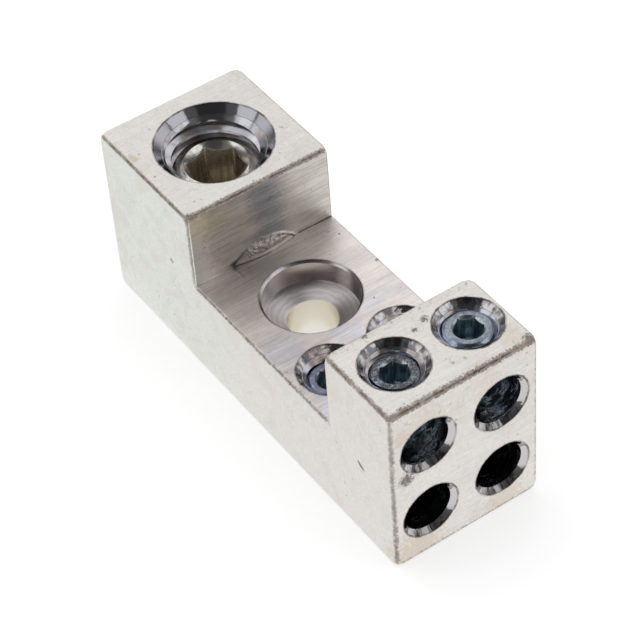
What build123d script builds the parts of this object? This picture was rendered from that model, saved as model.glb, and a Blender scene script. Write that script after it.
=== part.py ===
"""Splicer block: one stepped metal bar with a main wire bore, four branch wire bores, a counterbored
mounting hole and five hexagon-socket clamping screws.

Millimetres. The origin is the middle of the underside. +X runs from the end that takes the main wire
to the end that takes the branch wires, +Y across the bar and +Z up.
"""
from build123d import *
from math import cos, radians, sqrt, tan
import os

# The stepped profile, and how far it runs across
bar_width = 12.7
bar_height = 15.6
block_length = 37.5
main_head_length = 12.3
branch_head_length = 7.75
web_height = 8.75
edge_round = 0.3
worn_corner_depth = 0.3
worn_corner_slope = 22.0

# Wire bores, with their polished mouths
main_wire_bore = 7.94
main_wire_floor = 2.53
branch_wire_bore = 3.97
branch_wire_pitch = 6.35
branch_wire_below_face = 4.58
wire_mouth_chamfer = 0.4
lower_wire_depth = 15.2
wire_drill_slope = 31.0

# The main bore stops just short of the inner corner, and its flat drill point has lifted a blister
# there: a thin skin over the point, standing proud of the step and of the web
main_drill_slope = 16.0
blister_skin = 0.35
blister_radius = 3.78

# Mounting hole in the web
mounting_hole = 4.0
mounting_hole_from_main_end = 18.5
counterbore = 7.44
counterbore_depth = 2.0
counterbore_floor_slope = 15.0
counterbore_chamfer = 0.19
underside_chamfer = 0.15

# Where the screws stand: how far in from the ends, and how deep each face lies at rest
main_screw_from_main_end = 6.35
upper_screws_from_branch_end = 4.05
lower_screws_from_branch_end = 11.9
upper_row_offset = 0.25
main_face_depth = 2.0
upper_left_face_depth = 0.76
upper_right_face_depth = 0.42
lower_face_depth = 0.9

# How far each screw's hexagon stands turned at rest, in degrees
main_turn = -8.5
upper_left_turn = 32.0
upper_right_turn = 5.0
lower_left_turn = 14.0
lower_right_turn = -20.0

# The main screw, 5/16-24
main_thread = 7.938
main_screw_length = 7.94
main_hexagon = 3.97
main_socket_depth = 4.4
main_crown = 5.1
main_crown_slope = 30.0
main_point = 4.6

# The four branch screws, 8-32
branch_thread = 4.166
branch_screw_length = 3.97
branch_hexagon = 1.984
branch_socket_depth = 2.1
branch_crown = 3.22
branch_crown_slope = 40.0
branch_point = 2.4

# What both screws share: the socket's countersink, the cup in the point and the running clearance
branch_socket_mouth = 2.4
countersink_slope = 45.0
point_slope = 45.0
cup_share = 0.75
cup_slope = 31.0
socket_floor_slope = 20.0
hexagon_sides = 6
thread_clearance = 0.05

# Screw holes: mouth chamfers, and how far each runs past its wire bore's axis
main_mouth = 9.24
branch_mouth = 5.16
main_thread_past_axis = 1.3
branch_thread_past_axis = 0.6

# Places worked out from the sizes above
main_end = -block_length / 2
branch_end = block_length / 2
step_x = main_end + main_head_length
branch_head_x = branch_end - branch_head_length
main_axis_z = main_wire_floor + main_wire_bore / 2
upper_axis_z = bar_height - branch_wire_below_face
lower_axis_z = web_height - branch_wire_below_face
main_screw_x = main_end + main_screw_from_main_end
upper_screws_x = branch_end - upper_screws_from_branch_end
lower_screws_x = branch_end - lower_screws_from_branch_end
mounting_x = main_end + mounting_hole_from_main_end

# How far a cut runs on past the face that it opens, and the turn that lays a bore down
overrun = 1.0
quarter_turn = 90

# The profile's outer corners, each with its outward directions along X and Z
outer_corners = (
    (main_end, 0, -1, -1),
    (branch_end, 0, 1, -1),
    (branch_end, bar_height, 1, 1),
    (branch_head_x, bar_height, -1, 1),
    (step_x, bar_height, 1, 1),
    (main_end, bar_height, -1, 1),
)


def fall(run, slope):
    """How far a surface at this slope, in degrees, falls over a horizontal run."""
    return run * tan(radians(slope))


def turned(section):
    """A solid turned about the Z axis from (radius, height) corners of its half section."""
    outline = Polyline([(radius, 0, height) for radius, height in section], close=True)
    return revolve(make_face(outline), axis=Axis.Z)


def lying(solid, x, y, z, towards=1):
    """A solid turned about Z, laid down so that its top points along +X or -X, at a place."""
    return Pos(x, y, z) * Rot(0, towards * quarter_turn, 0) * solid


def worn_tip(corner, outward):
    """What wear has taken off the tip of one of the bar's corners, down to a blunt cone."""
    reach = 3 * worn_corner_depth
    tip = turned([
        (0, overrun),
        (reach, overrun),
        (reach, -worn_corner_depth - fall(reach, worn_corner_slope)),
        (0, -worn_corner_depth),
    ])
    return Plane(origin=corner, z_dir=outward) * tip


def stepped_bar():
    """The stepped profile run across the bar's width, every outer edge rounded and its corners worn."""
    outline = Polyline(
        (main_end, 0, 0),
        (branch_end, 0, 0),
        (branch_end, 0, bar_height),
        (branch_head_x, 0, bar_height),
        (branch_head_x, 0, web_height),
        (step_x, 0, web_height),
        (step_x, 0, bar_height),
        (main_end, 0, bar_height),
        close=True,
    )
    bar = extrude(make_face(outline), amount=bar_width / 2, both=True)
    inner_corners = bar.edges().filter_by(Axis.Y).filter_by_position(
        Axis.Z, web_height - edge_round, web_height + edge_round
    )
    bar = fillet([edge for edge in bar.edges() if edge not in inner_corners], edge_round)
    for x, z, out_x, out_z in outer_corners:
        for side in (-1, 1):
            bar -= worn_tip((x, side * bar_width / 2, z), (out_x, side, out_z))
    return bar


def blister():
    """The skin that the main bore's drill point lifts, down to the bore's axis."""
    reach = fall(blister_radius, main_drill_slope)
    cone = turned([(0, -edge_round), (blister_radius, -edge_round), (blister_radius, 0), (0, reach)])
    return lying(cone, step_x, 0, main_axis_z)


def wire_bore(diameter, depth, slope):
    """A drilled wire bore, mouth up at the origin, with a polished chamfer and a drill point."""
    radius = diameter / 2
    mouth = radius + wire_mouth_chamfer
    return turned([
        (0, overrun),
        (mouth, overrun),
        (mouth, 0),
        (radius, -wire_mouth_chamfer),
        (radius, -depth),
        (0, -depth - fall(radius, slope)),
    ])


def through_wire_bore(diameter, depth):
    """A wire bore that comes out in the gap between the heads, mouth up at the origin."""
    radius = diameter / 2
    mouth = radius + wire_mouth_chamfer
    return turned([
        (0, overrun),
        (mouth, overrun),
        (mouth, 0),
        (radius, -wire_mouth_chamfer),
        (radius, -depth),
        (0, -depth),
    ])


def screw_hole(thread, mouth_diameter, point, depth):
    """A tapped hole, mouth up at the origin, whose end tapers as the screw's own point does."""
    radius = thread / 2 + thread_clearance
    mouth = mouth_diameter / 2
    end = point / 2 + thread_clearance
    return turned([
        (0, overrun),
        (mouth, overrun),
        (mouth, 0),
        (radius, radius - mouth),
        (radius, -depth),
        (end, -depth - fall(radius - end, point_slope)),
        (0, -depth - fall(radius - end, point_slope)),
    ])


def mounting_cut():
    """The counterbored mounting hole, mouth up at the origin, right through the web."""
    hole = mounting_hole / 2
    wall = counterbore / 2
    floor = -counterbore_depth - fall(wall - hole, counterbore_floor_slope)
    return turned([
        (0, overrun),
        (wall + counterbore_chamfer, overrun),
        (wall + counterbore_chamfer, 0),
        (wall, -counterbore_chamfer),
        (wall, -counterbore_depth),
        (hole, floor),
        (hole, underside_chamfer - web_height),
        (hole + underside_chamfer, -web_height),
        (hole + underside_chamfer, -web_height - overrun),
        (0, -web_height - overrun),
    ])


def set_screw(thread, length, hexagon, socket_depth, crown, crown_slope, mouth, point):
    """A hexagon-socket set screw with a cup point, its face up at the origin."""
    radius = thread / 2
    shoulder = -fall(radius - crown / 2, crown_slope)
    shank = turned([
        (0, 0),
        (crown / 2, 0),
        (radius, shoulder),
        (radius, fall(radius - point / 2, point_slope) - length),
        (point / 2, -length),
        (0, -length),
    ])
    socket = extrude(
        Pos(0, 0, -socket_depth) * RegularPolygon(hexagon / 2, hexagon_sides, major_radius=False),
        socket_depth,
    )
    countersink = turned([(0, 0), (mouth / 2, 0), (0, -fall(mouth / 2, countersink_slope))])
    socket_floor = turned([
        (0, -socket_depth),
        (hexagon / 2, -socket_depth),
        (0, -socket_depth - fall(hexagon / 2, socket_floor_slope)),
    ])
    cup = turned([
        (0, -length),
        (cup_share * point / 2, -length),
        (0, fall(cup_share * point / 2, cup_slope) - length),
    ])
    return shank - socket - countersink - socket_floor - cup


def block_body():
    """The whole block: bar, blister, bores, screw holes and mounting hole."""
    block = stepped_bar() + blister()
    past_blister = fall(main_wire_bore / 2 - blister_radius, main_drill_slope)
    main_depth = main_head_length - blister_skin - past_blister
    block -= lying(wire_bore(main_wire_bore, main_depth, main_drill_slope), main_end, 0, main_axis_z, -1)
    for side in (-1, 1):
        y = side * branch_wire_pitch / 2
        upper = through_wire_bore(branch_wire_bore, branch_head_length + overrun)
        lower = wire_bore(branch_wire_bore, lower_wire_depth, wire_drill_slope)
        block -= lying(upper, branch_end, y, upper_axis_z)
        block -= lying(lower, branch_end, y, lower_axis_z)
        hole = screw_hole(
            branch_thread, branch_mouth, branch_point, branch_wire_below_face + branch_thread_past_axis
        )
        block -= Pos(upper_screws_x, y + upper_row_offset, bar_height) * hole
        block -= Pos(lower_screws_x, y, web_height) * hole
    main_hole_depth = bar_height - main_axis_z + main_thread_past_axis
    main_hole = screw_hole(main_thread, main_mouth, main_point, main_hole_depth)
    block -= Pos(main_screw_x, 0, bar_height) * main_hole
    block -= Pos(mounting_x, 0, web_height) * mounting_cut()
    return block


def main_screw():
    """The big clamping screw over the main wire bore."""
    screw = set_screw(
        main_thread, main_screw_length, main_hexagon, main_socket_depth,
        main_crown, main_crown_slope, main_crown, main_point,
    )
    return Pos(main_screw_x, 0, bar_height - main_face_depth) * Rot(0, 0, main_turn) * screw


def branch_screw(x, y, face_z, turn):
    """One of the four small clamping screws, with its face at a height and its hexagon turned."""
    screw = set_screw(
        branch_thread, branch_screw_length, branch_hexagon, branch_socket_depth,
        branch_crown, branch_crown_slope, branch_socket_mouth, branch_point,
    )
    return Pos(x, y, face_z) * Rot(0, 0, turn) * screw


left = -branch_wire_pitch / 2
right = branch_wire_pitch / 2
upper_left = left + upper_row_offset
upper_right = right + upper_row_offset
upper_left_z = bar_height - upper_left_face_depth
upper_right_z = bar_height - upper_right_face_depth
lower_z = web_height - lower_face_depth
parts = {
    "block_body": block_body(),
    "main_screw": main_screw(),
    "upper_screw_left": branch_screw(upper_screws_x, upper_left, upper_left_z, upper_left_turn),
    "upper_screw_right": branch_screw(upper_screws_x, upper_right, upper_right_z, upper_right_turn),
    "lower_screw_left": branch_screw(lower_screws_x, left, lower_z, lower_left_turn),
    "lower_screw_right": branch_screw(lower_screws_x, right, lower_z, lower_right_turn),
}

os.makedirs("parts", exist_ok=True)
for name, solid in parts.items():
    export_step(solid, "parts/" + name + ".step")
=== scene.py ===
"""Looks of the splicer block: threaded screws and holes, worn tin plating and a plain studio.

Lengths are in millimetres until a mesh is made, and in metres from there on.
"""
import bmesh
import bpy
from collections import namedtuple
from math import cos, pi, radians, sin, sqrt, tan
from types import SimpleNamespace

from mathutils import Matrix, Vector


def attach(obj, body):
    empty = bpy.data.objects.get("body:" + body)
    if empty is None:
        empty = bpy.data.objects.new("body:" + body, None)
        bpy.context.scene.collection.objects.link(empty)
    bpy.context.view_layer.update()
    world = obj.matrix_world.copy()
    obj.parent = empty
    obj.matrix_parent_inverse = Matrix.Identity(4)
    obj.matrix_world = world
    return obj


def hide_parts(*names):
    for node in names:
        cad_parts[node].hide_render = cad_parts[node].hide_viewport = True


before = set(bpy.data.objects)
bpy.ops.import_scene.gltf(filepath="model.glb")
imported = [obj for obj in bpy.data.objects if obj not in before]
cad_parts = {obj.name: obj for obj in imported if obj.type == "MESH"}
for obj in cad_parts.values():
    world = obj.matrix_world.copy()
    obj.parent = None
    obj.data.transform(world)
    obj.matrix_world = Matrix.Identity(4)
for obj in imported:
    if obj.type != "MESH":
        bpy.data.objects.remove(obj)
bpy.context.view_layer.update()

MM = 0.001
FULL_TURN = 2 * pi

# The block's own planes, as in the CAD source
FAR_END, NEAR_END = -18.75, 18.75
LEFT, RIGHT = -6.35, 6.35
TOP, WEB = 15.6, 8.75
STEP, BRANCH_BACK = -6.45, 11.0

# The wire bores: how high their axes lie, how far the branch wires' lie off the middle, and the
# radii of their mouths
MAIN_HEIGHT, UPPER_HEIGHT, LOWER_HEIGHT = 6.5, 11.02, 4.17
BRANCH_ROW = 3.175
WIRE_BORES = tuple((y, z) for y in (-BRANCH_ROW, BRANCH_ROW) for z in (UPPER_HEIGHT, LOWER_HEIGHT))
MAIN_MOUTH, WIRE_MOUTH = 4.37, 2.385
# The mounting hole: its axis' x, its own radius and its counterbore's mouth's
MOUNTING_X, MOUNTING_RADIUS, COUNTERBORE_MOUTH = -0.25, 2.0, 3.91

# The two kinds of screw, each with its hole. Widths: thread, hexagon, crown (the face), mouth (the
# socket's countersink), point and hole_mouth. Radii: bore and hole. Depths: socket, depth (the
# thread's) and past_axis (the hole's, below the bore's axis). Columns: the points in a mesh's row
MAIN = SimpleNamespace(
    thread=7.938, pitch=1.0583, length=7.94, hexagon=3.97, socket=4.4, crown=5.1,
    crown_slope=30.0, mouth=5.1, point=4.6, depth=0.61, hole_mouth=9.24,
    bore=3.97, hole=4.019, past_axis=1.3, columns=120,
)
BRANCH = SimpleNamespace(
    thread=4.166, pitch=0.79375, length=3.97, hexagon=1.984, socket=2.1, crown=3.22,
    crown_slope=40.0, mouth=2.4, point=2.4, depth=0.42, hole_mouth=5.16,
    bore=1.985, hole=2.133, past_axis=0.6, columns=96,
)
# Each screw's kind, its axis, its face's height and the hexagon's turn at rest, the face that its
# hole is tapped into, the height of the wire bore's axis under it, and its body
Screw = namedtuple("Screw", "kind centre face turn tapped_face bore_height body")
SCREWS = {
    "main_screw": Screw(MAIN, (-12.4, 0.0), 13.6, -8.5, TOP, MAIN_HEIGHT, "main_clamp"),
    "upper_screw_left": Screw(
        BRANCH, (14.7, -2.925), 14.84, 32.0, TOP, UPPER_HEIGHT, "upper_clamp_left"),
    "upper_screw_right": Screw(
        BRANCH, (14.7, 3.425), 15.18, 5.0, TOP, UPPER_HEIGHT, "upper_clamp_right"),
    "lower_screw_left": Screw(
        BRANCH, (6.85, -BRANCH_ROW), 7.85, 14.0, WEB, LOWER_HEIGHT, "lower_clamp_left"),
    "lower_screw_right": Screw(
        BRANCH, (6.85, BRANCH_ROW), 7.85, -20.0, WEB, LOWER_HEIGHT, "lower_clamp_right"),
}

# Screws with grime on their faces, and how thick it lies
DIRTY = {"upper_screw_left": 1.0, "upper_screw_right": 0.25, "lower_screw_left": 0.2}

# One turn of a thread: how far along it, and how much of its full depth the surface stands out
THREAD_FORM = (
    (0.0, 1.0), (0.0625, 1.0), (0.125, 1.0), (0.28, 0.5),
    (0.4375, 0.0), (0.5625, 0.0), (0.6875, 0.0), (0.84, 0.5), (1.0, 1.0),
)
ROWS_A_TURN = len(THREAD_FORM) - 1
# How much a screw's crests are worn down, and the gap between its thread and the hole's
CREST_LOSS, RUNNING_GAP = 0.03, 0.07
# A screw's cup point: its share of the point's width, and its slope; then its socket floor's slope
CUP_SHARE, CUP_SLOPE, FLOOR_SLOPE = 0.75, 31.0, 20.0
# The lip round a screw's face, and the chamfer outside it
LIP = 0.05
LIP_CHAMFER = LIP * 0.4
# A hole's lining: how much flatter its thread is than the screw's, how deep its back lies in the
# wall, and how far it stays off the countersink and off the hole's floor
ROOT_LOSS, BACK_DEPTH, OFF_MOUTH, OFF_FLOOR = 0.01, 0.04, 0.03, 0.15
# Points this close together, in metres, are one, and edges this short are taken out
SAME_PLACE, SHORTEST_EDGE = 1.5e-6, 1e-6
# Faces that meet at more than this many degrees have a crease between them
SHARP_ANGLE = 32


def placed(name, data):
    """A new object of the scene."""
    thing = bpy.data.objects.new(name, data)
    bpy.context.scene.collection.objects.link(thing)
    return thing


def mesh_from(bm, name):
    """The mesh built so far, as data for an object."""
    mesh = bpy.data.meshes.new(name)
    bm.to_mesh(mesh)
    bm.free()
    return mesh


def stand_out(turns):
    """How much of a thread's depth its surface stands out, this many turns along it."""
    along = turns % 1.0
    for (start, low), (end, high) in zip(THREAD_FORM, THREAD_FORM[1:]):
        if along <= end:
            return low + (high - low) * (along - start) / (end - start)
    return 1.0


def angles_round(kind, turn=0.0):
    """The angles of a row's points, the first of them turned this many degrees."""
    return [radians(turn) + FULL_TURN * j / kind.columns for j in range(kind.columns)]


def helical_wall(kind, angles, bottom, top, radius_at):
    """Rows of points that follow a thread, between two heights that may differ by angle."""
    pitch = kind.pitch
    lowest = min(bottom(angle) for angle in angles)
    highest = max(top(angle) for angle in angles)
    first_turn = int(lowest / pitch - angles[-1] / FULL_TURN) - 2
    last_turn = int(highest / pitch - angles[0] / FULL_TURN) + 3
    rows = []
    for whole in range(first_turn, last_turn):
        for along, _ in THREAD_FORM[:ROWS_A_TURN]:
            row = []
            for angle in angles:
                z = pitch * (whole + along + angle / FULL_TURN)
                z = min(max(z, bottom(angle)), top(angle))
                row.append((angle, radius_at(angle, z), z))
            rows.append(row)
    return rows


def ring(angles, radius, z):
    """One closed row of points; the radius and the height may be functions of the angle."""
    return [
        (angle, radius(angle) if callable(radius) else radius, z(angle) if callable(z) else z)
        for angle in angles
    ]


def add_row(bm, row, centre):
    """A mesh's points for one row, round a centre."""
    x0, y0 = centre
    return [
        bm.verts.new(((x0 + r * cos(a)) * MM, (y0 + r * sin(a)) * MM, z * MM)) for a, r, z in row
    ]


def join_helix(bm, wall):
    """Faces over helical rows. Where a row ends, the row one turn up goes on."""
    count, last = len(wall[0]), len(wall) - 1
    for k in range(last):
        for j in range(count):
            if j + 1 < count:
                corners = [wall[k][j], wall[k][j + 1], wall[k + 1][j + 1], wall[k + 1][j]]
            else:
                up = min(k + ROWS_A_TURN, last)
                corners = [wall[k][j], wall[up][0], wall[min(up + 1, last)][0], wall[k + 1][j]]
            corners = list(dict.fromkeys(corners))
            if len(corners) > 2:
                bm.faces.new(corners)


def join_rows(bm, first, second, upward=True):
    """A closed strip of faces between two plain rows."""
    for j, corner in enumerate(first):
        n = (j + 1) % len(first)
        quad = [corner, first[n], second[n], second[j]]
        bm.faces.new(quad if upward else quad[::-1])


def join_on(bm, start, rows, centre, upward):
    """Plain rows joined on to a row of points, each to the one before; gives the last one."""
    for row in rows:
        points = add_row(bm, row, centre)
        join_rows(bm, start, points, upward)
        start = points
    return start


def close_end(bm, start, rows, centre, upward):
    """Plain rows joined on to a row of points, and the middle point whose height comes last."""
    rim = join_on(bm, start, rows[:-1], centre, upward)
    tip = bm.verts.new((centre[0] * MM, centre[1] * MM, rows[-1] * MM))
    for j, corner in enumerate(rim):
        n = (j + 1) % len(rim)
        bm.faces.new([corner, rim[n], tip] if upward else [rim[n], corner, tip])


def skin(name, helical, above, below, centre):
    """A mesh over helical rows, with plain rows above and below them up to a middle point.

    With no rows below, those above run down behind the helical ones and meet them from the back.
    """
    bm = bmesh.new()
    wall = [add_row(bm, row, centre) for row in helical]
    join_helix(bm, wall)
    if below:
        close_end(bm, wall[-1], above, centre, True)
        close_end(bm, wall[0], below, centre, False)
    else:
        join_rows(bm, join_on(bm, wall[-1], above, centre, True), wall[0])
    bmesh.ops.remove_doubles(bm, verts=bm.verts, dist=SAME_PLACE)
    bmesh.ops.dissolve_degenerate(bm, edges=bm.edges, dist=SHORTEST_EDGE)
    bmesh.ops.recalc_face_normals(bm, faces=bm.faces)
    mesh = mesh_from(bm, name)
    piece = placed(name, mesh)
    mesh.polygons.foreach_set("use_smooth", [True] * len(mesh.polygons))
    mesh.set_sharp_from_angle(angle=radians(SHARP_ANGLE))
    return piece


def hexagon_radius(kind, turn):
    """A hexagon's radius at each angle, with its first corner turned this far."""
    half = kind.hexagon / 2

    def radius(angle):
        from_corner = (angle - radians(turn)) % (pi / 3)
        return half / cos(from_corner - pi / 6)

    return radius


def screw_outside(kind, face):
    """A screw's radius at an angle and a height: its thread, crown and point."""
    crest = kind.thread / 2 - CREST_LOSS
    root = crest - kind.depth
    slope = tan(radians(kind.crown_slope))
    crown = kind.crown / 2 + LIP_CHAMFER
    point, end = kind.point / 2, face - kind.length

    def radius(angle, z):
        thread = root + (crest - root) * stand_out(z / kind.pitch - angle / FULL_TURN)
        return min(thread, crown + (face - z - LIP_CHAMFER) / slope, point + (z - end))

    return radius


def face_and_socket(screw, angles):
    """Rows over a screw's face and down its scalloped countersink and its hexagon socket."""
    kind, face = screw.kind, screw.face
    crown, mouth, floor = kind.crown / 2, kind.mouth / 2, face - kind.socket
    half_lip = LIP * 0.5
    corner = hexagon_radius(kind, screw.turn)

    def scallop(angle):
        return face - (mouth - corner(angle))

    rows = [ring(angles, crown - LIP_CHAMFER, face)]
    if mouth < crown:
        rows.append(ring(angles, mouth + half_lip, face))
    rows.append(ring(angles, mouth if mouth < crown else mouth - LIP, face - LIP * 0.6))
    rows.append(ring(angles, lambda a: corner(a) + half_lip, lambda a: scallop(a) + half_lip))
    rows.append(ring(angles, corner, lambda a: scallop(a) - half_lip))
    rows.append(ring(angles, corner, floor + LIP))
    rows.append(ring(angles, lambda a: corner(a) - LIP * 0.7, floor))
    halfway, fall = kind.hexagon * 0.25, tan(radians(FLOOR_SLOPE))
    rows.append(ring(angles, halfway, floor - halfway * fall))
    return rows + [floor - halfway * 2 * fall]


def cup_point(kind, end, angles):
    """Rows under a screw's point, up its cup to the cup's tip."""
    cup, climb = CUP_SHARE * kind.point / 2, tan(radians(CUP_SLOPE))
    halfway = cup * 0.5
    return [ring(angles, cup, end), ring(angles, halfway, end + halfway * climb), end + cup * climb]


def set_screw(name):
    """A screw with its thread, a lip round its face, a scalloped countersink and a cup point."""
    screw = SCREWS[name]
    kind, face = screw.kind, screw.face
    angles = angles_round(kind, screw.turn)
    end, rim = face - kind.length, face - LIP_CHAMFER
    wall = helical_wall(kind, angles, lambda a: end, lambda a: rim, screw_outside(kind, face))
    above, below = face_and_socket(screw, angles), cup_point(kind, end, angles)
    piece = skin(name + "_threaded", wall, above, below, screw.centre)
    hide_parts(name)
    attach(piece, screw.body)
    return piece


def tapped_wall(name):
    """The thread in one screw hole: a thin lining that stands out of the plain hole's wall."""
    screw = SCREWS[name]
    kind, face = screw.kind, screw.tapped_face
    angles = angles_round(kind)
    crest = kind.thread / 2 - CREST_LOSS - kind.depth + RUNNING_GAP
    root = crest + kind.depth - ROOT_LOSS
    buried = kind.hole + BACK_DEPTH
    mouth = kind.hole_mouth / 2
    top = face - (mouth - kind.hole) - OFF_MOUTH

    def bottom(angle):
        """Where the lining meets the wire bore under it, or else just over the hole's floor."""
        across = min(abs(crest * sin(angle)), kind.bore)
        saddle = screw.bore_height + sqrt(kind.bore ** 2 - across ** 2)
        return max(saddle, screw.bore_height - kind.past_axis + OFF_FLOOR)

    def inside(angle, z):
        thread = crest + (root - crest) * stand_out(z / kind.pitch - angle / FULL_TURN)
        return max(thread, mouth - (face - z))

    wall = helical_wall(kind, angles, bottom, lambda a: top, inside)
    behind = [ring(angles, buried, top), ring(angles, buried, bottom)]
    piece = skin(name.replace("screw", "hole") + "_thread", wall, behind, [], screw.centre)
    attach(piece, "block")
    return piece


class Signal:
    """One node's output, which plain arithmetic combines with others."""

    def __init__(self, graph, socket):
        self.graph = graph
        self.socket = socket

    def __add__(self, other):
        return self.graph.math("ADD", self, other)

    def __radd__(self, other):
        return self.graph.math("ADD", other, self)

    def __sub__(self, other):
        return self.graph.math("SUBTRACT", self, other)

    def __rsub__(self, other):
        return self.graph.math("SUBTRACT", other, self)

    def __mul__(self, other):
        return self.graph.math("MULTIPLY", self, other)

    def __rmul__(self, other):
        return self.graph.math("MULTIPLY", other, self)

    def __truediv__(self, other):
        return self.graph.math("DIVIDE", self, other)

    def __abs__(self):
        return self.graph.math("ABSOLUTE", self)


class Graph:
    """Builds nodes over positions in the part, in millimetres, or over a world's directions."""

    def __init__(self, tree, coordinate="Object", scale=1 / MM):
        self.tree = tree
        self.tree.nodes.clear()
        coordinates = Signal(self, self.new("ShaderNodeTexCoord").outputs[coordinate])
        self.place = self.moved(coordinates, (scale,) * 3)
        split = self.new("ShaderNodeSeparateXYZ")
        self.join(self.place.socket, split.inputs[0])
        self.x, self.y, self.z = (Signal(self, split.outputs[i]) for i in range(3))
        self.axes = {"x": self.x, "y": self.y, "z": self.z}

    def new(self, kind, **settings):
        """A new node with these settings."""
        node = self.tree.nodes.new(kind)
        for name, value in settings.items():
            setattr(node, name, value)
        return node

    def join(self, output, socket):
        self.tree.links.new(output, socket)

    def feed(self, socket, value):
        """Gives a socket its value, which may be another node's output."""
        if isinstance(value, Signal):
            self.join(value.socket, socket)
        else:
            socket.default_value = value

    def math(self, operation, *values, clamp=False):
        """One step of arithmetic."""
        node = self.new("ShaderNodeMath", operation=operation, use_clamp=clamp)
        for socket, value in zip(node.inputs, values):
            self.feed(socket, value)
        return Signal(self, node.outputs[0])

    def greatest(self, first, *others):
        """The greatest of several values; the first may be None, which counts for nothing."""
        for other in others:
            first = other if first is None else self.math("MAXIMUM", first, other)
        return first

    def least(self, first, *others):
        """The least of several values."""
        for other in others:
            first = self.math("MINIMUM", first, other)
        return first

    def within(self, value):
        """The value, kept between 0 and 1."""
        return self.math("ADD", value, 0.0, clamp=True)

    def rise(self, value, start, end, low=0.0, high=1.0):
        """The low value up to the start, then smoothly up to the high one at the end."""
        node = self.new("ShaderNodeMapRange", interpolation_type="SMOOTHSTEP")
        for socket, item in zip(node.inputs, (value, start, end, low, high)):
            self.feed(socket, item)
        return Signal(self, node.outputs[0])

    def swing(self, noise, reach=1.0):
        """A noise as a value that goes from -reach to reach."""
        return self.rise(noise, 0.3, 0.7, -reach, reach)

    def inside(self, value, start, end, soft):
        """1 between start and end, with soft sides, and 0 outside."""
        begun = self.rise(value, start - soft, start + soft)
        return begun * self.rise(value, end + soft, end - soft)

    def moved(self, place, stretch, shift=(0, 0, 0)):
        """A place, stretched and then shifted."""
        node = self.new("ShaderNodeMapping")
        self.feed(node.inputs["Vector"], place)
        node.inputs["Scale"].default_value = stretch
        node.inputs["Location"].default_value = shift
        return Signal(self, node.outputs[0])

    def pattern(self, kind, output, stretch, shift, **settings):
        """One output of a texture over the place, stretched and shifted.

        The place's node is made before the texture's. A texture made before what feeds it is worked
        out late, and too many of those make a material too big to render.
        """
        if not isinstance(stretch, tuple):
            stretch = (stretch,) * 3
        place = self.moved(self.place, stretch, shift)
        node = self.new(kind)
        self.feed(node.inputs["Vector"], place)
        node.inputs["Scale"].default_value = 1.0
        for name, value in settings.items():
            node.inputs[name].default_value = value
        return Signal(self, node.outputs[output])

    def noise(self, stretch, shift=(0, 0, 0), detail=2.0, roughness=0.5, distortion=0.0):
        """Noise from 0 to 1, with about stretch features a millimetre along each axis."""
        settings = {"Detail": detail, "Roughness": roughness, "Distortion": distortion}
        return self.pattern("ShaderNodeTexNoise", "Fac", stretch, shift, **settings)

    def cells(self, stretch, shift=(0, 0, 0)):
        """The distance to the nearest of scattered points, about stretch of them a millimetre."""
        return self.pattern("ShaderNodeTexVoronoi", "Distance", stretch, shift)

    def mix(self, first, second, share):
        """Between two colours."""
        node = self.new("ShaderNodeMix", data_type="RGBA")
        self.feed(node.inputs[0], share)
        self.feed(node.inputs[6], first)
        self.feed(node.inputs[7], second)
        return Signal(self, node.outputs[2])

    def tinted(self, colour, strength):
        """A colour times a number."""
        node = self.new("ShaderNodeVectorMath", operation="SCALE")
        self.feed(node.inputs[0], colour if isinstance(colour, Signal) else colour[:3])
        self.feed(node.inputs["Scale"], strength)
        return Signal(self, node.outputs[0])

    def distance(self, **centre):
        """How far a place is from a point, or from an axis where only two coordinates are given."""
        total = None
        for name, value in centre.items():
            off = self.axes[name] - value
            square = off * off
            total = square if total is None else total + square
        return self.math("SQRT", total)

    def edge(self, **lines):
        """How far a place is from an edge, which runs where two planes meet."""
        return self.greatest(*(abs(self.axes[name] - value) for name, value in lines.items()))

    def finish(self, colour, roughness, height, metallic=1.0):
        """The shader itself; the height is in millimetres."""
        bump = self.new("ShaderNodeBump")
        bump.inputs["Distance"].default_value = MM
        self.feed(bump.inputs["Height"], height)
        shader = self.new("ShaderNodeBsdfPrincipled")
        self.feed(shader.inputs["Base Color"], colour)
        self.feed(shader.inputs["Roughness"], roughness)
        self.feed(shader.inputs["Metallic"], metallic)
        self.join(bump.outputs[0], shader.inputs["Normal"])
        self.join(shader.outputs[0], self.new("ShaderNodeOutputMaterial").inputs[0])


def tone(red, green, blue):
    """A screen colour from 0 to 255 as a linear one."""
    def linear(value):
        """One channel."""
        share = value / 255
        return share / 12.92 if share <= 0.04045 else ((share + 0.055) / 1.055) ** 2.4

    return (linear(red), linear(green), linear(blue), 1.0)


def new_material(name):
    """A material, and the graph that its nodes are made with."""
    material = bpy.data.materials.new(name)
    material.use_nodes = True
    return material, Graph(material.node_tree)


# The plating's own colours: two for most of it, two for faint patches, and five for the web and
# the step between the heads; the blue streak and the olive glint among them are painted reflections
# on the step
PLATE, PLATE_COOL = tone(234, 230, 226), tone(236, 238, 232)
BLUSH_WARM, BLUSH_GREEN = tone(226, 214, 202), tone(214, 218, 208)
STEP_GREY, WEB_GREY, WEB_BLUED = tone(219, 212, 206), tone(225, 217, 213), tone(212, 212, 223)
REFLECTION_STREAK_BLUE, GLINT_OLIVE = tone(206, 212, 222), tone(216, 209, 182)
# Stains and wear, then painted shade in the inner corner's crease and on the blister's left flank,
# and painted highlights and shade on its crumpled top
TAN, GRIME, RIM_BROWN = tone(206, 184, 152), tone(112, 98, 88), tone(98, 88, 80)
WORN_PALE, WORN_DARK = tone(176, 162, 152), tone(80, 69, 64)
CREASE_SHADE_DARK, FLANK_SHADE_DARK = tone(62, 60, 62), tone(74, 72, 74)
CRUMPLE_SHADE, CRUMPLE_HIGHLIGHT = tone(172, 158, 152), tone(244, 234, 228)
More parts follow.
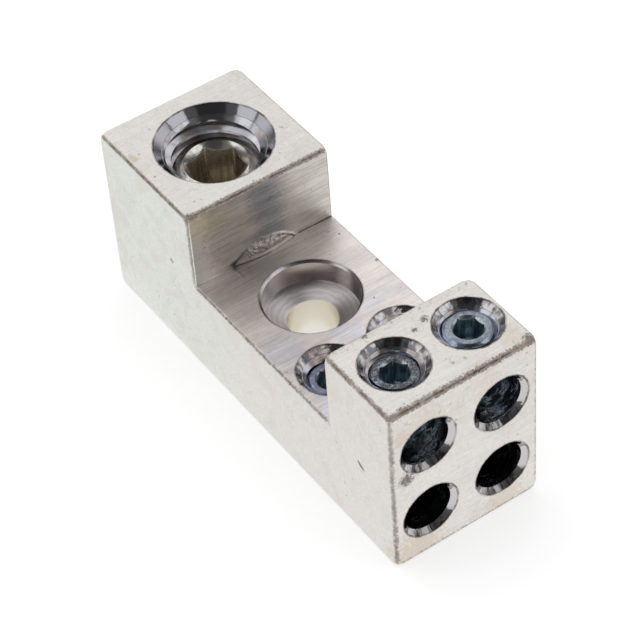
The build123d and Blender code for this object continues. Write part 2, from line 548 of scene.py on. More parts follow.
# The polished mouths, with painted shade on the lower part of the wire bores' mouths, the bores'
# walls in painted shade with bright painted reflections, the counterbore's rings and the mounting
# hole's wall
POLISH_PALE, POLISH_DARK = tone(200, 196, 197), tone(118, 118, 124)
POLISH_MAIN, POLISH_FOOT_SHADE = tone(172, 172, 178), tone(84, 84, 88)
BORE_SHADE, BORE_REFLECTION = tone(84, 90, 94), tone(228, 238, 246)
RING_PALE, RING_DARK, HOLE_PALE = tone(203, 195, 194), tone(190, 185, 188), tone(238, 233, 223)

# Tan heat tints on the plating: where each is, how far it reaches, and how strong it is
TINTS = (
    (dict(x=-14.67, y=-5.77, z=TOP), 0.55, 0.5), (dict(x=17.11, y=0.28, z=TOP), 0.22, 0.9),
    (dict(x=17.24, y=1.21, z=TOP), 0.2, 0.7), (dict(x=NEAR_END, y=-3.2, z=13.7), 1.9, 0.22),
    (dict(x=NEAR_END, y=2.0, z=13.9), 2.0, 0.18), (dict(x=NEAR_END, y=-5.4, z=13.2), 1.0, 0.3),
    (dict(x=NEAR_END, y=3.0, z=0.6), 2.4, 0.3), (dict(x=NEAR_END, y=-4.6, z=1.0), 2.4, 0.4),
    (dict(x=17.6, y=4.9, z=TOP), 1.3, 0.16), (dict(x=STEP, y=3.27, z=8.86), 0.16, 0.9),
)
# Smudges of grime: where each is, and how far it reaches
SMUDGES = (
    (dict(x=NEAR_END, y=-5.15, z=8.75), 0.6), (dict(x=NEAR_END, y=-1.55, z=10.0), 0.4),
    (dict(x=16.57, y=-1.78, z=TOP), 0.22), (dict(x=18.5, y=-5.05, z=TOP), 0.32),
    (dict(x=11.2, y=-3.0, z=TOP), 0.3), (dict(x=12.9, y=0.1, z=TOP), 0.22),
    (dict(x=18.4, y=5.9, z=TOP), 0.45), (dict(x=-0.3, y=6.2, z=WEB), 0.22),
    (dict(x=STEP, y=-5.9, z=TOP), 0.45), (dict(x=-9.5, y=LEFT, z=9.15), 0.22),
    (dict(x=12.5, y=1.27, z=TOP), 0.32),
)
# A scratch on the left side: its middle, the direction that it runs in, and half its length
SCRATCH_MIDDLE, SCRATCH_RUN, SCRATCH_HALF = (14.93, 7.65), (0.84, -0.54), 0.42
# The blister at the inner corner: its foot's radius round the main bore's axis, its slope, and the
# y and z of its left tip
BLISTER_RADIUS, BLISTER_SLOPE, BLISTER_TIP = 3.78, 0.287, (-2.95, 8.74)
# The painted shade along the inner corner's crease: from which y to which, how softly it ends, and
# how strong it is
CREASE_SHADE_PARTS = (
    (3.1, 6.2, 0.1, 0.5), (-2.9, 0.4, 0.3, 0.55), (-6.3, -2.9, 0.3, 0.1), (0.6, 3.0, 0.3, 0.25),
)
# The step's shallow waves: their turn in radians a millimetre, and their height
STEP_WAVE_TURN, STEP_WAVE_HEIGHT = 0.698, 0.14

# Parts of an edge's run that its wear keeps to
MAIN_SIDE = ("x", FAR_END - 1, STEP + 0.5)
BRANCH_SIDE = ("x", BRANCH_BACK - 0.5, NEAR_END + 1)
WEB_SIDE = ("x", STEP + 0.2, BRANCH_BACK - 0.2)
ABOVE_WEB = ("z", WEB + 0.2, TOP + 1)
# Worn edges: the planes that meet there, half the worn band's width, how ragged it is, how strong
# it is, and the part of the run
WORN_EDGES = (
    (dict(x=STEP, z=TOP), 0.24, 0.26, 0.95, None),
    (dict(x=NEAR_END, z=TOP), 0.27, 0.34, 1.0, None),
    (dict(x=NEAR_END, y=LEFT), 0.17, 0.3, 0.7, None),
    (dict(x=NEAR_END, y=RIGHT), 0.15, 0.26, 0.75, None),
    (dict(y=LEFT, z=TOP), 0.19, 0.08, 0.95, MAIN_SIDE),
    (dict(y=LEFT, z=TOP), 0.22, 0.2, 0.95, BRANCH_SIDE),
    (dict(y=RIGHT, z=TOP), 0.13, 0.18, 0.6, None),
    (dict(x=BRANCH_BACK, z=TOP), 0.13, 0.16, 0.6, None),
    (dict(y=LEFT, z=WEB), 0.13, 0.2, 0.85, WEB_SIDE),
    (dict(y=RIGHT, z=WEB), 0.12, 0.16, 0.5, WEB_SIDE),
    (dict(x=STEP, y=LEFT), 0.14, 0.16, 0.6, ABOVE_WEB),
    (dict(x=STEP, y=RIGHT), 0.13, 0.1, 0.5, ABOVE_WEB),
    (dict(x=BRANCH_BACK, y=LEFT), 0.1, 0.1, 0.25, ABOVE_WEB),
    (dict(x=FAR_END, z=TOP), 0.12, 0.12, 0.35, None),
    (dict(x=FAR_END, y=LEFT), 0.12, 0.1, 0.35, None),
    (dict(x=FAR_END, y=RIGHT), 0.12, 0.1, 0.35, None),
    (dict(y=LEFT, z=0.0), 0.12, 0.12, 0.35, None),
    (dict(y=RIGHT, z=0.0), 0.12, 0.12, 0.35, None),
    (dict(x=NEAR_END, z=0.0), 0.25, 0.42, 0.6, None),
    (dict(x=FAR_END, z=0.0), 0.12, 0.12, 0.35, None),
)


class Plating:
    """The block's tin plating, built up in layers over its flats, edges, blister and cuts, with
    painted light and shade on the web, the step, the inner corner, the blister and the bores.
    """

    def __init__(self):
        self.material, g = new_material("tin_plating")
        self.g = g
        # The cut sides, and all the rest, which has lines drawn across the bar
        self.side_face = g.rise(abs(g.y), RIGHT - 0.23, RIGHT - 0.03)
        self.drawn = 1.0 - self.side_face
        # The web with the step's face and the branch head's back, and the step's face alone
        pocket = g.inside(g.x, STEP - 0.05, BRANCH_BACK + 0.1, 0.03)
        pocket = pocket * g.rise(g.z, WEB - 0.25, WEB - 0.05) * self.drawn
        self.pocket = pocket * g.rise(g.z, TOP - 0.04, TOP - 0.12)
        self.on_step = g.rise(g.x, STEP + 0.1, STEP + 0.05)
        self.wobble = g.swing(g.noise(2.6, (2, 5, 3), detail=3.0), 0.35)

    def cover(self, share, colour):
        """Lays a colour over a share of the surface."""
        self.colour = self.g.mix(self.colour, colour, share)

    def cut(self, share, colour, roughness, height):
        """A machined surface, where nothing of the plating's own look is left."""
        self.cover(share, colour)
        self.roughness = self.roughness + (roughness - self.roughness) * share
        self.height = self.height + (height - self.height) * share
        self.grime = self.grime * (1.0 - share)

    def drawn_lines(self):
        """Fine lines and broad bands across the bar, strongest between the heads."""
        g, drawn = self.g, self.drawn
        lined = self.pocket * (0.6 + self.on_step * 0.4)
        lines = g.swing(g.noise((7.0, 0.22, 7.0), detail=3.0, roughness=0.7))
        shade = 1.0 + lines * (drawn * 0.035 + lined * 0.08)
        height = lines * (drawn * 0.0016 + lined * 0.0016)
        self.roughness = 0.5 - self.pocket * 0.16 + lines * drawn * 0.03
        thin_lines = g.swing(g.noise((26.0, 0.7, 26.0), (3, 1, 7)))
        shade = shade + thin_lines * (drawn * 0.035 + lined * 0.08)
        self.height = height + thin_lines * (drawn * 0.0009 + lined * 0.001)
        bands = g.swing(g.noise((1.1, 0.14, 1.1), (5, 2, 1)))
        self.shade = shade + bands * (drawn * 0.02 + lined * 0.09)

    def mottle(self):
        """Clouds, specks and flecks, and upright strokes on the cut sides."""
        g, drawn, side_face = self.g, self.drawn, self.side_face
        cloud = g.swing(g.noise(2.2, (8, 3, 2), detail=5.0, roughness=0.65))
        shade = self.shade + cloud * (drawn * 0.03 + side_face * 0.035)
        height = self.height + cloud * side_face * 0.005
        self.roughness = self.roughness + cloud * side_face * 0.04
        speck = g.noise(14.0, (1, 9, 4), detail=3.0, roughness=0.7)
        speck = g.rise(speck, 0.25, 0.75, -1.0, 1.0)
        shade = shade + speck * (drawn * 0.03 + side_face * 0.035)
        height = height + speck * (drawn * 0.0006 + side_face * 0.0018)
        strokes = g.swing(g.noise((3.0, 3.0, 11.0), (7, 7, 7), detail=3.0)) * side_face
        shade = shade + strokes * 0.03
        height = height + strokes * 0.001
        fleck = g.noise(5.5, (4, 4, 9), detail=6.0, roughness=0.8)
        self.fleck = g.rise(fleck, 0.5, 0.6) - g.rise(fleck, 0.49, 0.37)
        self.shade = shade + self.fleck * (0.045 - self.pocket * 0.02)
        self.height = height + self.fleck * 0.0022

    def texture(self):
        """The bare plating: lines, a mottle and tarnish, with painted light and shade: the branch
        head lighter, the near face darker, and the web and step in painted reflections.
        """
        g = self.g
        self.drawn_lines()
        self.mottle()
        # Painted light: the branch head a little lighter
        branch_head_light = g.rise(g.x, BRANCH_BACK, 12.0) * self.drawn
        shade = self.shade + branch_head_light * 0.05 + self.pocket_shade()
        # Painted shade: the near face a little darker
        shade = shade - g.rise(g.x, NEAR_END - 0.1, NEAR_END) * 0.05
        self.colour = g.tinted(self.tarnish_and_painted_reflections(), shade)

    def pocket_shade(self):
        """Painted light and shade: the web lighter to the right and near the branch head's back and
        darker in the corner by the step, and the step in painted reflections, with a soft light
        patch at its left and dark streaks.
        """
        g = self.g
        # Painted shade in the web's corner by the step, and painted light: the web lighter to the
        # right and near the branch head's back
        corner_shade = g.rise(g.x, -4.2, -5.3) * g.rise(g.y, 2.5, 4.5)
        web = g.rise(g.y, -4.5, 5.0, -0.1, 0.1) - corner_shade * 0.17
        web = web + g.rise(g.x, 8.5, 10.0) * 0.09
        # Painted reflections on the step, a soft light patch at its left and dark streaks, lie
        # along this slanted line
        reflection_streak = g.y + g.z * 0.12 + self.wobble * 0.8
        self.reflection_streak = g.inside(reflection_streak, 0.9, 3.2, 0.8) * self.on_step
        self.glint = g.rise(reflection_streak, -0.2, -2.4) * g.rise(g.z, 12.0, 14.4) * self.on_step
        step_reflection = g.rise(reflection_streak, -2.0, -4.6) * 0.62 - g.rise(reflection_streak, 4.6, 5.6) * 0.03
        return self.pocket * (web + step_reflection * self.on_step - self.reflection_streak * 0.26)

    def tarnish_and_painted_reflections(self):
        """The plating's own colour: faint warm and cool patches, and duller between the heads; on
        the step, a bluish painted dark reflection and a painted olive highlight.
        """
        g = self.g
        cool = g.rise(g.x, 8.0, -12.0) * self.side_face
        plate = g.mix(PLATE, PLATE_COOL, cool)
        blush = g.noise(0.42, (3, 6, 6), detail=3.0, distortion=0.6)
        plate = g.mix(plate, BLUSH_WARM, g.rise(blush, 0.52, 0.68) * 0.28)
        plate = g.mix(plate, BLUSH_GREEN, g.rise(blush, 0.46, 0.34) * self.side_face * 0.22)
        tinge = g.noise(0.55, (6, 2, 2), detail=3.0, distortion=0.8)
        web = g.mix(STEP_GREY, WEB_GREY, g.rise(g.x, STEP + 0.1, STEP + 0.5))
        blued = g.rise(tinge, 0.42, 0.62) * g.rise(g.x, -1.0, 6.0)
        blued = blued * g.rise(g.z, WEB + 0.3, WEB + 0.1)
        # Painted reflections on the step: a bluish dark streak and an olive glint
        web = g.mix(g.mix(web, WEB_BLUED, blued * 0.85), REFLECTION_STREAK_BLUE, self.reflection_streak * 0.7)
        web = g.mix(web, GLINT_OLIVE, self.glint * 0.8)
        return g.mix(plate, web, self.pocket)

    def stains(self):
        """Tan tints, fainter between the heads."""
        g = self.g
        stain = None
        for centre, size, strength in TINTS:
            spot = g.rise(g.distance(**centre) / size + self.wobble, 1.1, 0.35) * strength
            stain = g.greatest(stain, spot)
        self.cover(stain * (1.0 - self.pocket * 0.5), TAN)

    def pits(self):
        """Small dark pits, more of them in some places, with fine cracks, smudges and a scratch."""
        g = self.g
        crowd = g.rise(g.noise(0.35, (1, 4, 2)), 0.42, 0.68)
        pits = g.cells(1.15, (3, 1, 2)) + (self.fleck - 0.3) * 0.03
        pits = g.rise(pits, g.rise(crowd, 0.0, 1.0, 0.055, 0.15), 0.02)
        near_face = g.rise(g.x, NEAR_END - 0.1, NEAR_END)
        pitted = pits * (0.75 - self.side_face * 0.35 - near_face * 0.35)
        top = g.rise(g.z, TOP - 0.2, TOP - 0.1)
        back = top * g.rise(g.x, 13.4, BRANCH_BACK)
        back = back * g.rise(g.x, BRANCH_BACK - 0.4, BRANCH_BACK)
        near = top * g.rise(g.x, 16.9, 18.6)
        level = g.rise(g.greatest(back, near * 0.8, crowd * 0.5), 0.0, 1.0, 0.69, 0.595)
        crumbs = g.noise(4.2, (5, 2, 8), detail=6.0, roughness=0.8)
        pitted = g.greatest(pitted, g.rise(crumbs - level, 0.0, 0.03) * 0.75)
        hairs = g.noise((0.8, 0.5, 0.8), (2, 8, 5), detail=1.0, distortion=0.4)
        hairs = g.rise(abs(hairs - 0.5), 0.004, 0.0) * g.rise(g.noise(0.7, (9, 5, 4)), 0.5, 0.6)
        hairs = hairs * (1.0 - self.pocket)
        pitted = g.greatest(pitted, hairs * 0.35)
        grit = g.rise(g.noise(7.0, (5, 5, 1), detail=5.0, roughness=0.8), 0.4, 0.62, -0.6, 0.6)
        for centre, size in SMUDGES:
            pitted = g.greatest(pitted, g.rise(g.distance(**centre) / size + grit, 0.9, 0.4) * 0.85)
        pitted = g.greatest(pitted, self.scratch(grit))
        self.cover(pitted, GRIME)
        self.roughness = self.roughness + pitted * 0.2
        self.height = self.height - pitted * 0.02 - hairs * 0.006
        self.grime = pitted * 0.6

    def scratch(self, grit):
        """A short scratch across the left side."""
        g = self.g
        off_x, off_z = g.x - SCRATCH_MIDDLE[0], g.z - SCRATCH_MIDDLE[1]
        along = off_x * SCRATCH_RUN[0] + off_z * SCRATCH_RUN[1]
        across = off_z * SCRATCH_RUN[0] - off_x * SCRATCH_RUN[1]
        line = g.rise(abs(across) + grit * 0.1, 0.16, 0.05)
        line = line * g.inside(along, -SCRATCH_HALF, SCRATCH_HALF, 0.12)
        return line * g.rise(g.y, LEFT + 0.1, LEFT + 0.05)

    def worn_edges(self):
        """Edges worn brown, ragged where they meet the flats, darkest along their middle."""
        g = self.g
        self.ragged = g.noise(5.0, (2, 2, 2), detail=4.0, roughness=0.75)
        self.patchy = g.noise(0.9, (4, 7, 1), detail=3.0)
        spread = g.rise(self.ragged, 0.3, 0.7) - 0.3
        wear, core = None, None
        for planes, width, rag, strength, run in WORN_EDGES:
            reach = g.edge(**planes)
            band = g.rise(reach - width - spread * rag, 0.05, -0.05) * strength
            middle = g.rise(reach - spread * (rag * 0.25), 0.15, 0.09) * strength
            if run:
                part = g.inside(g.axes[run[0]], run[1], run[2], 0.2)
                band, middle = band * part, middle * part
            wear, core = g.greatest(wear, band), g.greatest(core, middle)
        wear = g.within(wear * g.rise(self.patchy, 0.25, 0.55, 0.6, 1.0))
        chips = g.noise(8.0, (6, 1, 3), detail=3.0, roughness=0.7)
        broken = g.rise(g.noise(1.7, (3, 8, 8), detail=3.0), 0.36, 0.6)
        dark = core * broken * 0.75 + g.rise(chips, 0.5, 0.66) * 0.8 - g.rise(chips, 0.4, 0.3) * 0.5
        self.cover(wear, g.mix(WORN_PALE, WORN_DARK, g.within(dark)))
        self.roughness = self.roughness + wear * 0.1
        self.height = self.height - wear * g.rise(chips, 0.35, 0.65) * 0.02
        self.grime = g.greatest(self.grime, wear * 0.55)

    def crease_shade(self):
        """Painted shade along the inner corner's crease, round the foot of the blister, over a
        shallow groove in the bump, and painted shade at the blister's tip.
        """
        g = self.g
        in_foot = g.greatest(BLISTER_RADIUS - g.distance(y=0.0, z=MAIN_HEIGHT), 0.0)
        gap = g.greatest(abs(g.z - WEB), abs(g.x - STEP - in_foot * BLISTER_SLOPE))
        parts = g.greatest(*(
            g.inside(g.y, start, end, soft) * strength for start, end, soft, strength in CREASE_SHADE_PARTS
        ))
        crease_shade = g.rise(gap + (self.ragged - 0.5) * 0.12, 0.1, 0.03) * parts
        self.height = self.height - crease_shade * 0.03
        # Painted shade at the blister's tip, in the corner
        tip_shade = g.rise(g.distance(x=STEP, y=-2.8, z=8.95) / 0.4 + self.wobble, 1.1, 0.3) * 0.55
        self.cover(g.greatest(crease_shade, tip_shade), CREASE_SHADE_DARK)

    def blister(self):
        """Painted shade along its left flank, which climbs away from its tip, and painted
        highlights and shade over the bump of its crumpled top.
        """
        g = self.g
        from_tip = g.y - BLISTER_TIP[0]
        off_line = abs((g.z - BLISTER_TIP[1]) - from_tip * (1.02 - from_tip * 0.18))
        climb = off_line + (self.ragged - 0.5) * 0.2
        # Painted shade along the blister's left flank
        flank_shade = g.rise(climb, 0.2, 0.02) * g.rise(g.y, -0.9, -2.6) * g.rise(g.y, -3.1, -2.9)
        flank_shade = flank_shade * g.rise(g.x, STEP - 0.3, STEP - 0.2)
        flank_shade = flank_shade * g.rise(g.x, STEP + 1.5, STEP + 1.4)
        self.cover(flank_shade * g.rise(g.z, WEB, WEB + 0.1) * 0.75, FLANK_SHADE_DARK)
        off_y, off_z = g.y - 0.6, g.z - 9.5
        arch = g.math("SQRT", off_y * off_y * 0.16 + off_z * off_z)
        crumple_light_patch = g.rise(arch + self.wobble * 0.6, 0.95, 0.55) * g.rise(g.z, WEB + 0.2, WEB + 0.6)
        crumple_light_patch = crumple_light_patch * g.rise(g.x, STEP + 0.01, STEP + 0.08) * g.rise(g.x, STEP + 1.6, STEP + 1.5)
        crumple = g.noise((1.6, 1.6, 2.6), (2, 6, 2), detail=3.0, roughness=0.6, distortion=1.2)
        # Painted highlights and shade on the crumpled top, following the same noise as its bump
        self.cover(crumple_light_patch * 0.85, g.mix(CRUMPLE_SHADE, CRUMPLE_HIGHLIGHT, g.rise(crumple, 0.4, 0.6)))
        self.height = self.height + crumple_light_patch * crumple * 0.3 - flank_shade * 0.05

    def step_waves(self):
        """The step's face is drawn in shallow waves across the bar."""
        g = self.g
        waves = g.math("COSINE", (g.y - LEFT) * STEP_WAVE_TURN) * self.on_step
        self.height = self.height + waves * self.pocket * STEP_WAVE_HEIGHT

    def disc(self, radius, edge):
        """All that lies inside a cut's edge."""
        return self.g.rise(radius, edge + 0.01, edge - 0.02)

    def rim(self, radius, edge, on_face):
        """Adds a thin, ragged brown line round the edge of a cut."""
        line = abs(radius - edge - 0.01) + (self.ragged - 0.5) * 0.22
        self.rims = self.g.greatest(self.rims, self.g.rise(line, 0.1, 0.04) * on_face)

    def mouths(self):
        """The polished mouths of the screw holes and of the wire bores, with painted shade on the
        lower part of the wire bores' mouths.
        """
        g = self.g
        mouths, mouth_foot_shade, self.rims = None, None, None
        for screw in SCREWS.values():
            edge, face = screw.kind.hole_mouth / 2, screw.tapped_face
            radius = g.distance(x=screw.centre[0], y=screw.centre[1])
            mouths = g.greatest(mouths, self.disc(radius, edge) * g.rise(g.z, 3.0, 3.2))
            self.rim(radius, edge, g.rise(g.z, face - 0.1, face - 0.05))
        near_mouth = g.rise(g.x, NEAR_END - 0.55, NEAR_END - 0.45)
        near_face = g.rise(g.x, NEAR_END - 0.1, NEAR_END - 0.05)
        for y_bore, z_bore in WIRE_BORES:
            radius, below = g.distance(y=y_bore, z=z_bore), z_bore - g.z
            # Painted shade: darker, in streaks, on the lower part of each wire bore's mouth
            foot = g.rise(below, 0.9, 2.0) * g.rise(below, 2.6, 2.4) * near_mouth
            mouth_foot_shade = g.greatest(mouth_foot_shade, foot)
            mouths = g.greatest(mouths, self.disc(radius, WIRE_MOUTH) * near_mouth)
            self.rim(radius, WIRE_MOUTH, near_face)
        radius = g.distance(y=0.0, z=MAIN_HEIGHT)
        far_mouth = g.rise(g.x, FAR_END + 0.55, FAR_END + 0.45)
        mouths = g.greatest(mouths, self.disc(radius, MAIN_MOUTH) * far_mouth)
        self.rim(radius, MAIN_MOUTH, g.rise(g.x, FAR_END + 0.1, FAR_END + 0.05))
        main_mouth = g.rise(g.x, -6.0, -7.0) * g.rise(g.z, 13.0, 14.0)
        polish = self.polish(mouth_foot_shade, main_mouth)
        chatter = g.noise(2.2, (4, 4, 1), detail=1.0)
        self.cut(mouths, polish, 0.11, chatter * (0.028 - main_mouth * 0.022))

    def polish(self, mouth_foot_shade, main_mouth):
        """Streaky in screw holes, greyer in the main one, and in the wire bores' mouths darker in
        streaks towards the bottom, which is painted shade.
        """
        g = self.g
        streaks = g.rise(g.noise((1.7, 1.7, 0.4), (3, 9, 2)), 0.38, 0.6)
        streaks = streaks * g.rise(g.x, NEAR_END - 0.45, NEAR_END - 0.55)
        polish = g.mix(g.mix(POLISH_PALE, POLISH_DARK, streaks), POLISH_MAIN, main_mouth)
        stripes = g.rise(g.noise((1.0, 4.6, 1.0), (8, 2, 2)), 0.4, 0.6, 0.45, 0.9)
        return g.mix(polish, POLISH_FOOT_SHADE, mouth_foot_shade * stripes)

    def bores(self):
        """The wire bores' walls, in a dark painted shade below, and with bright swirls of painted
        reflection in the upper ones.
        """
        g = self.g
        bores = None
        along = g.rise(g.x, 3.0, 3.1) * g.rise(g.x, NEAR_END - 0.39, NEAR_END - 0.42)
        for y_bore, z_bore in WIRE_BORES:
            wall = g.rise(g.distance(y=y_bore, z=z_bore), 2.05, 2.0)
            bores = g.greatest(bores, wall * along)
        along = g.rise(g.x, -6.9, -7.0) * g.rise(g.x, FAR_END + 0.39, FAR_END + 0.42)
        wall = g.rise(g.distance(y=0.0, z=MAIN_HEIGHT), 4.02, 3.98)
        bores = g.greatest(bores, wall * along)
        # Painted reflections: bright swirls and thread lines on the upper bores' walls
        reflected_swirl = g.noise((1.5, 0.5, 0.5), (1, 1, 6), detail=3.0, roughness=0.65, distortion=1.0)
        reflected_threads = g.rise(abs(reflected_swirl - 0.5), 0.035, 0.0) + g.rise(abs(reflected_swirl - 0.6), 0.03, 0.0) * 0.7
        reflected_swirl = g.within(reflected_threads + g.rise(reflected_swirl, 0.44, 0.66) * 0.45)
        reflected_swirl = reflected_swirl * g.rise(g.noise(0.8, (4, 2, 2)), 0.35, 0.55, 0.3, 1.0)
        upper = g.rise(g.z, 7.6, 7.7)
        # Painted shade on the bores' walls, with the painted reflections on the upper ones
        self.cut(bores, g.mix(BORE_SHADE, BORE_REFLECTION, reflected_swirl * upper), 0.24, reflected_swirl * 0.012)

    def mounting_hole(self):
        """The turned rings of its counterbore, and the pale wall of the hole itself."""
        g = self.g
        radius = g.distance(x=MOUNTING_X, y=0.0)
        counterbore = g.rise(radius, COUNTERBORE_MOUTH + 0.02, COUNTERBORE_MOUTH - 0.01)
        counterbore = counterbore * g.rise(g.z, 0.02, 0.05)
        turning = g.math("SINE", radius * 15.0 + g.noise(1.2, (9, 9, 9), detail=3.0) * 11.0)
        rings = g.mix(RING_PALE, RING_DARK, g.rise(turning, -0.8, 0.9))
        in_hole = g.rise(radius, MOUNTING_RADIUS + 0.03, MOUNTING_RADIUS)
        self.cut(counterbore, g.mix(rings, HOLE_PALE, in_hole), 0.25, turning * 0.0003)
        self.rim(radius, COUNTERBORE_MOUTH, g.rise(g.z, WEB - 0.1, WEB - 0.05) * 0.5)

    def finished(self):
        """The whole material, laid down from the bare plating up to the cuts' rims."""
        self.texture()
        self.stains()
        self.pits()
        self.worn_edges()
        self.crease_shade()
        self.blister()
        self.step_waves()
        self.mouths()
        self.bores()
        self.mounting_hole()
        rims = self.g.within(self.rims * self.g.rise(self.patchy, 0.35, 0.6, 0.3, 0.9))
        self.cover(rims, RIM_BROWN)
        self.g.finish(self.colour, self.roughness, self.height, metallic=1.0 - self.grime)
        return self.material


def liner_material():
    """The metal of the tapped holes' threads, cut bright and rubbed duller in places."""
    material, g = new_material("tapped_wall")
    rub = g.noise(0.9, (3, 3, 3))
    fine = g.noise((1.0, 1.0, 14.0), (1, 3, 3))
    colour = g.mix(tone(196, 197, 205), tone(168, 160, 158), g.rise(rub, 0.4, 0.65))
    g.finish(colour, g.rise(rub, 0.3, 0.7, 0.14, 0.22), fine * 0.001)
    return material


def screw_tones(g, name, rub, upright, cone, lip):
    """The colour of a screw's outside and that of its socket's walls."""
    if SCREWS[name].kind is MAIN:
        outer = g.mix(tone(228, 224, 217), tone(196, 190, 182), g.rise(rub, 0.4, 0.75))
        return outer, g.mix(tone(214, 206, 190), tone(184, 175, 160), g.rise(upright, 0.35, 0.65))
    worn = DIRTY.get(name, 0.0) * 34
    pale = tone(170 - worn, 178 - worn, 188 - worn)
    outer = g.mix(pale, tone(124, 136, 148), g.rise(rub, 0.4, 0.7))
    if name.startswith("lower"):
        outer = g.mix(outer, tone(108, 110, 138), g.rise(rub, 0.3, 0.6, 0.5, 0.85))
    outer = g.mix(outer, tone(162, 174, 194), cone * 0.85)
    outer = g.mix(outer, tone(198, 206, 215), lip * 0.7)
    return outer, g.mix(tone(178, 198, 208), tone(112, 126, 132), g.rise(upright, 0.35, 0.65))


def screw_material(name):
    """A screw's metal: fine turned rings, upright marks in the socket, and grime on some faces."""
    screw = SCREWS[name]
    kind, face = screw.kind, screw.face
    material, g = new_material(name + "_metal")
    radius = g.distance(x=screw.centre[0], y=screw.centre[1])
    flat, crown, mouth = kind.hexagon / 2, kind.crown / 2, kind.mouth / 2
    socket = g.rise(radius, flat * 1.18, flat * 1.13)
    socket = socket * g.rise(g.z, face - 0.1 * kind.mouth, face - 0.24 * kind.mouth)
    rub = g.noise(3.0, (face, screw.turn, 1), detail=4.0, roughness=0.65)
    rings = g.math("SINE", (radius + g.z * 0.6) * 42.0 + rub * 9.0)
    upright = g.noise((3.0, 3.0, 0.4), (screw.turn, 3, face))
    near_face = g.rise(g.z, face - 0.6, face - 0.45)
    cone = g.rise(radius, crown - 0.02, crown + 0.05) * near_face
    lip = g.rise(radius, mouth + 0.04, mouth - 0.02)
    outer, walls = screw_tones(g, name, rub, upright, cone, lip)
    colour = g.tinted(g.mix(outer, walls, socket), 1.0 + rings * 0.04)
    roughness = g.rise(rub, 0.3, 0.7, 0.14, 0.26) + socket * 0.12
    height = rings * 0.0012 + rub * 0.004
    if name not in DIRTY:
        g.finish(colour, roughness, height)
        return material
    grime = g.noise(6.5, (screw.turn, 8, 2), detail=4.0, roughness=0.7)
    dirt = g.rise(grime, 0.46, 0.58) * g.rise(radius, flat * 1.1, flat * 1.3)
    dirt = dirt * (1.0 - cone) * DIRTY[name]
    soil = g.mix(tone(92, 80, 76), tone(186, 186, 190), g.rise(grime, 0.62, 0.7))
    colour = g.mix(colour, soil, dirt)
    g.finish(colour, roughness + dirt * 0.3, height + dirt * 0.02, metallic=1.0 - dirt * 0.6)
    return material


# The camera: where its eye is and the point it looks at, in millimetres, then its roll and its lens
EYE = (113.905, -69.394, 140.012)
LOOK_POINT = (1.292, -0.35, 7.62)
ROLL, LENS, SENSOR = -4.756, 141.78, 36.0
NEAREST, FARTHEST = 0.01, 10.0
# The floor: how far it reaches in metres, its drop below the part in millimetres, its own grey,
# and its glow where it is seen straight
FLOOR_REACH, FLOOR_DROP, FLOOR_GREY, FLOOR_GLOW = 3.0, 0.02, 0.52, 0.56
# The room: the azimuths and heights of its darker side and of its two soft boxes, and the rings
# round each: from which angle to which the level changes, and to what
DARK_SIDE, DARK_RINGS = (-31.5, 45.0), ((82, 56, 0.15), (25, 20, 0.04))
SOFT_BOXES = ((41.0, 33.0), (-104.0, 33.0))
SOFT_BOX_RINGS = ((19.5, 18, 0.05), (17, 15.5, 1.1))
# The lamp: where it is and its width, in metres, and its power
LAMP_PLACE, LAMP_WIDTH, LAMP_POWER = (-0.16, -0.1, 0.42), 0.35, 0.25


def camera():
    """The photo's own view of the block."""
    data = bpy.data.cameras.new("camera")
    data.lens = LENS
    data.sensor_width = SENSOR
    data.clip_start = NEAREST
    data.clip_end = FARTHEST
    eye = placed("camera", data)
    back = (Vector(EYE) - Vector(LOOK_POINT)).normalized()
    facing = back.to_track_quat("Z", "Y").to_matrix() @ Matrix.Rotation(radians(ROLL), 3, "Z")
    eye.matrix_world = Matrix.Translation(Vector(EYE) * MM) @ facing.to_4x4()
    bpy.context.scene.camera = eye


def floor_material():
    """White to the eye and in metal, and a plain grey that keeps the object's soft shadow."""
    material, g = new_material("pale_floor")
    path = g.new("ShaderNodeLightPath")
    seen = Signal(g, path.outputs["Is Camera Ray"])
    matt = g.new("ShaderNodeBsdfDiffuse")
    matt.inputs[0].default_value = (FLOOR_GREY, FLOOR_GREY, FLOOR_GREY, 1)
    glow = g.new("ShaderNodeEmission")
    g.feed(glow.inputs["Strength"], seen * FLOOR_GLOW)
    both = g.new("ShaderNodeAddShader")
    g.join(matt.outputs[0], both.inputs[0])
    g.join(glow.outputs[0], both.inputs[1])
    white = g.new("ShaderNodeEmission")
    pick = g.new("ShaderNodeMixShader")
    g.join(path.outputs["Is Glossy Ray"], pick.inputs[0])
    g.join(both.outputs[0], pick.inputs[1])
    g.join(white.outputs[0], pick.inputs[2])
    g.join(pick.outputs[0], g.new("ShaderNodeOutputMaterial").inputs[0])
    return material


def pale_floor():
    """A plain floor just under the part."""
    bm = bmesh.new()
    bmesh.ops.create_grid(bm, x_segments=1, y_segments=1, size=FLOOR_REACH)
    mesh = mesh_from(bm, "floor")
    floor = placed("floor", mesh)
    floor.location.z = -FLOOR_DROP * MM
    mesh.materials.append(floor_material())


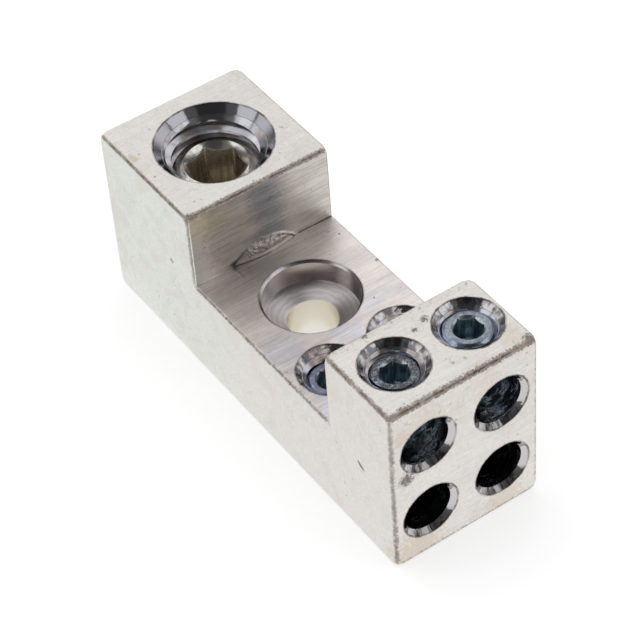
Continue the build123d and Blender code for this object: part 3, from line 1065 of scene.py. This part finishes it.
def room():
    """A white room, with a darker side and two soft boxes in it for polished metal to show."""
    world = bpy.data.worlds.new("room")
    bpy.context.scene.world = world
    world.use_nodes = True
    g = Graph(world.node_tree, "Generated", 1.0)

    def towards(azimuth, elevation):
        """The cosine of the angle between a ray and this direction."""
        a, e = radians(azimuth), radians(elevation)
        return g.x * (cos(e) * cos(a)) + g.y * (cos(e) * sin(a)) + g.z * sin(e)

    def between(first, second, share):
        return first + (second - first) * share

    def ringed(level, ray, rings):
        """The level, changed within each ring round a direction."""
        for outer, inner, new_level in rings:
            share = g.rise(ray, cos(radians(outer)), cos(radians(inner)))
            level = between(level, new_level, share)
        return level

    level = ringed(1.0, towards(*DARK_SIDE), DARK_RINGS)
    level = g.least(level, g.rise(g.z, 0.04, 0.3, 0.2, 1.0))
    for direction in SOFT_BOXES:
        level = ringed(level, towards(*direction), SOFT_BOX_RINGS)
    path = g.new("ShaderNodeLightPath")
    mirrored = Signal(g, path.outputs["Is Glossy Ray"])
    seen = Signal(g, path.outputs["Is Camera Ray"])
    level = between(between(0.93, level, mirrored), 1.0, seen)
    background = g.new("ShaderNodeBackground")
    g.feed(background.inputs["Strength"], level)
    background.inputs["Color"].default_value = (1, 1, 1, 1)
    g.join(background.outputs[0], g.new("ShaderNodeOutputWorld").inputs[0])


def lamp():
    """One soft box over the floor, for the part's shadow and its matt faces."""
    light = bpy.data.lights.new("soft_box", "AREA")
    light.size = LAMP_WIDTH
    light.energy = LAMP_POWER
    box = placed("soft_box", light)
    box.location = LAMP_PLACE
    box.rotation_mode = "QUATERNION"
    box.rotation_quaternion = Vector(LAMP_PLACE).to_track_quat("Z", "Y")


bpy.context.scene.view_settings.view_transform = "Standard"
camera()
pale_floor()
room()
lamp()
plating = Plating().finished()
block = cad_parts["block_body"]
for material_slot in block.material_slots:
    material_slot.material = plating
tapped = liner_material()
for screw_name in SCREWS:
    screw_piece = set_screw(screw_name)
    screw_piece.data.materials.append(screw_material(screw_name))
    liner = tapped_wall(screw_name)
    liner.data.materials.append(tapped)
